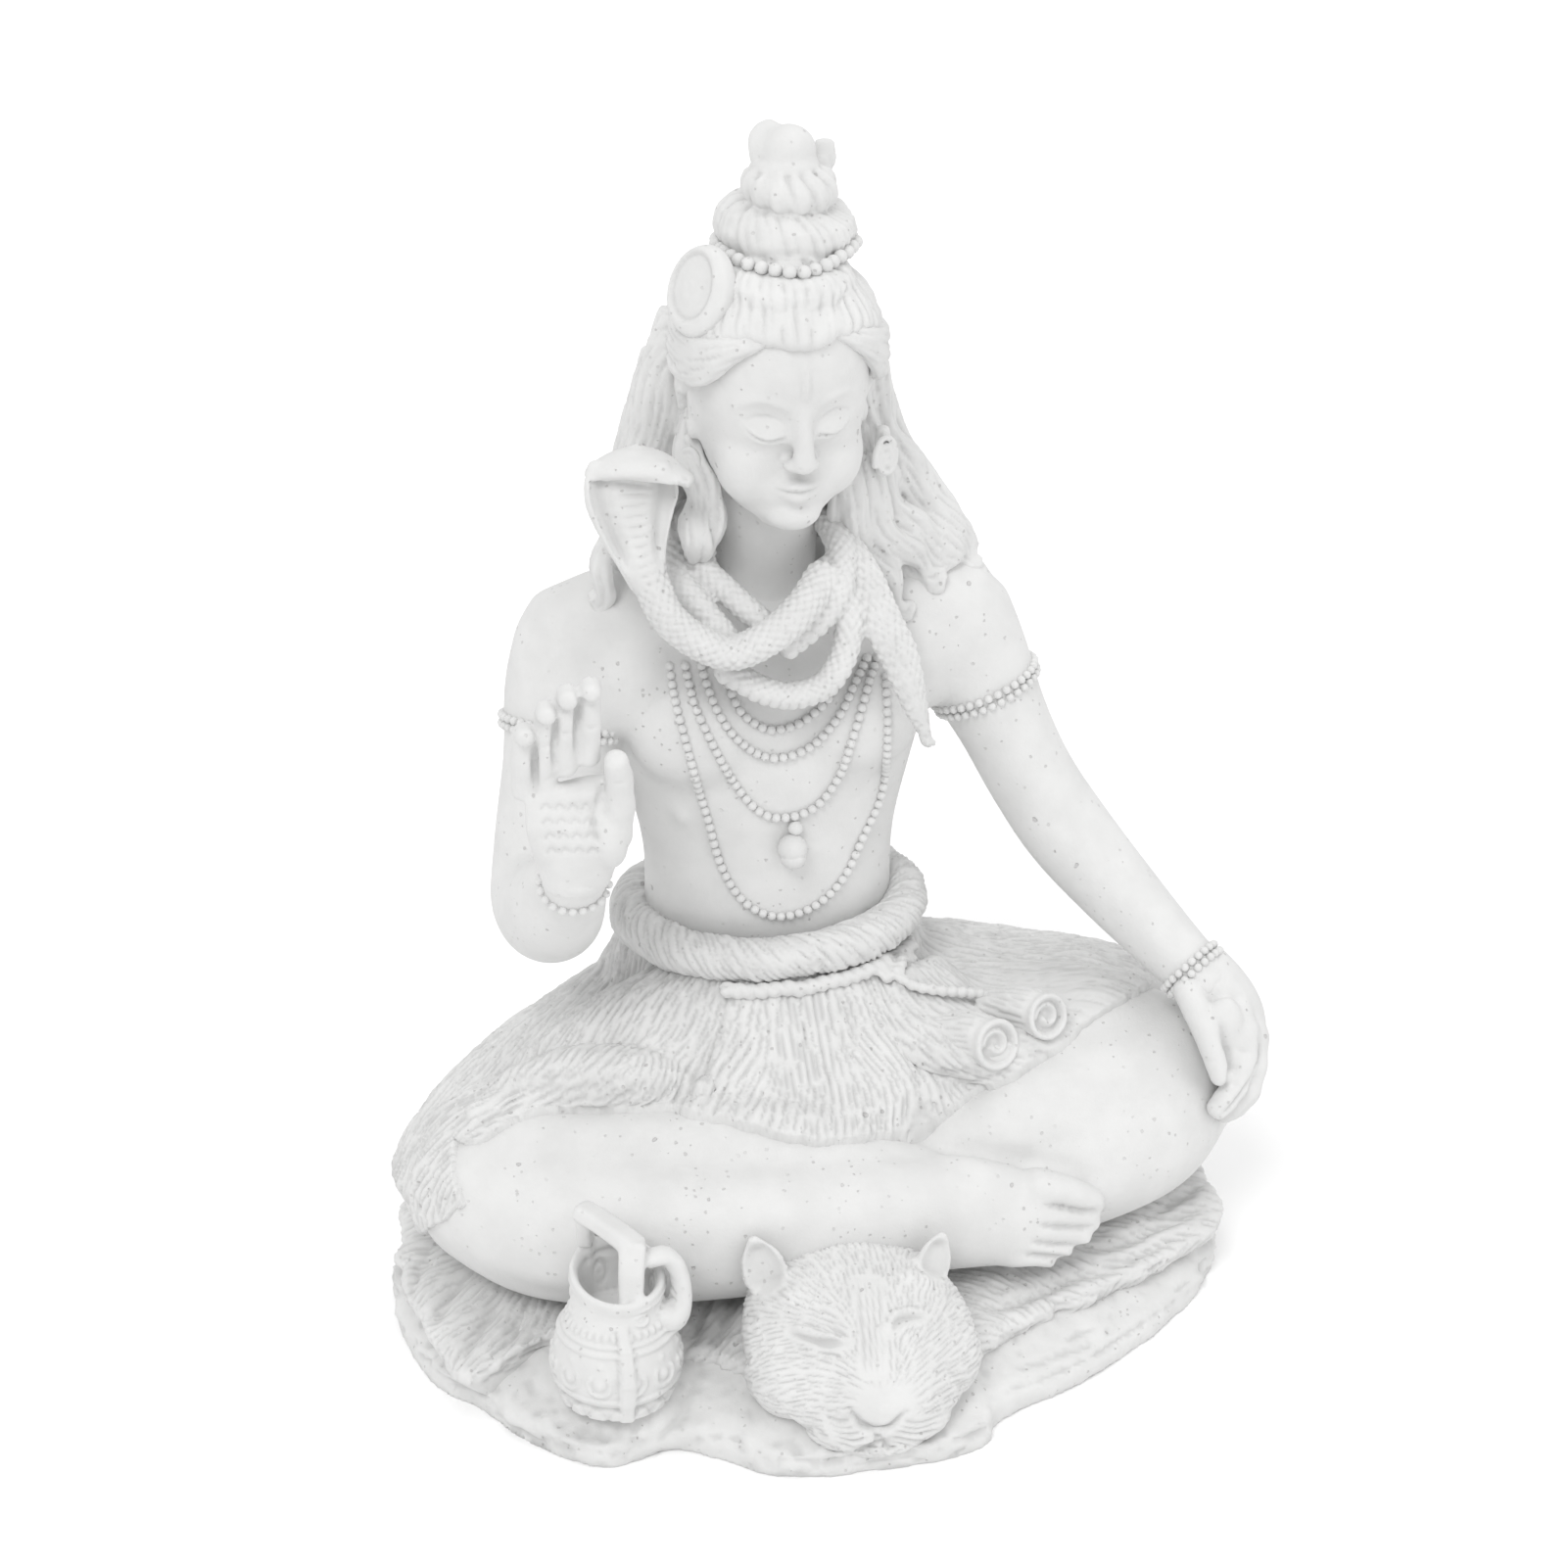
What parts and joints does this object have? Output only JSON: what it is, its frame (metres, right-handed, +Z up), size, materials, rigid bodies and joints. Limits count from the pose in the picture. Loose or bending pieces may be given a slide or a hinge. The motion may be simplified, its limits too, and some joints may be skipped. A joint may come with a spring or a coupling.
{
  "type": "shiva figure",
  "caption": "Seated cross-legged figure with one raised palm, cobra at the throat, hair knot, water pot and animal skin over a rock, cast as one solid that stands on its flat underside.",
  "frame": {"origin": "middle of the bounding box on the underside of the rock", "axes": "+Z up, the figure faces -Y, +X towards the figure's left hand, which is the viewer's right"},
  "size_m": [0.1306, 0.0996, 0.1735],
  "materials": {
    "cast_stone": "matt white cast stone with small pores"
  },
  "bodies": {
    "root": {"figure": "cast_stone"}
  },
  "joints": []
}
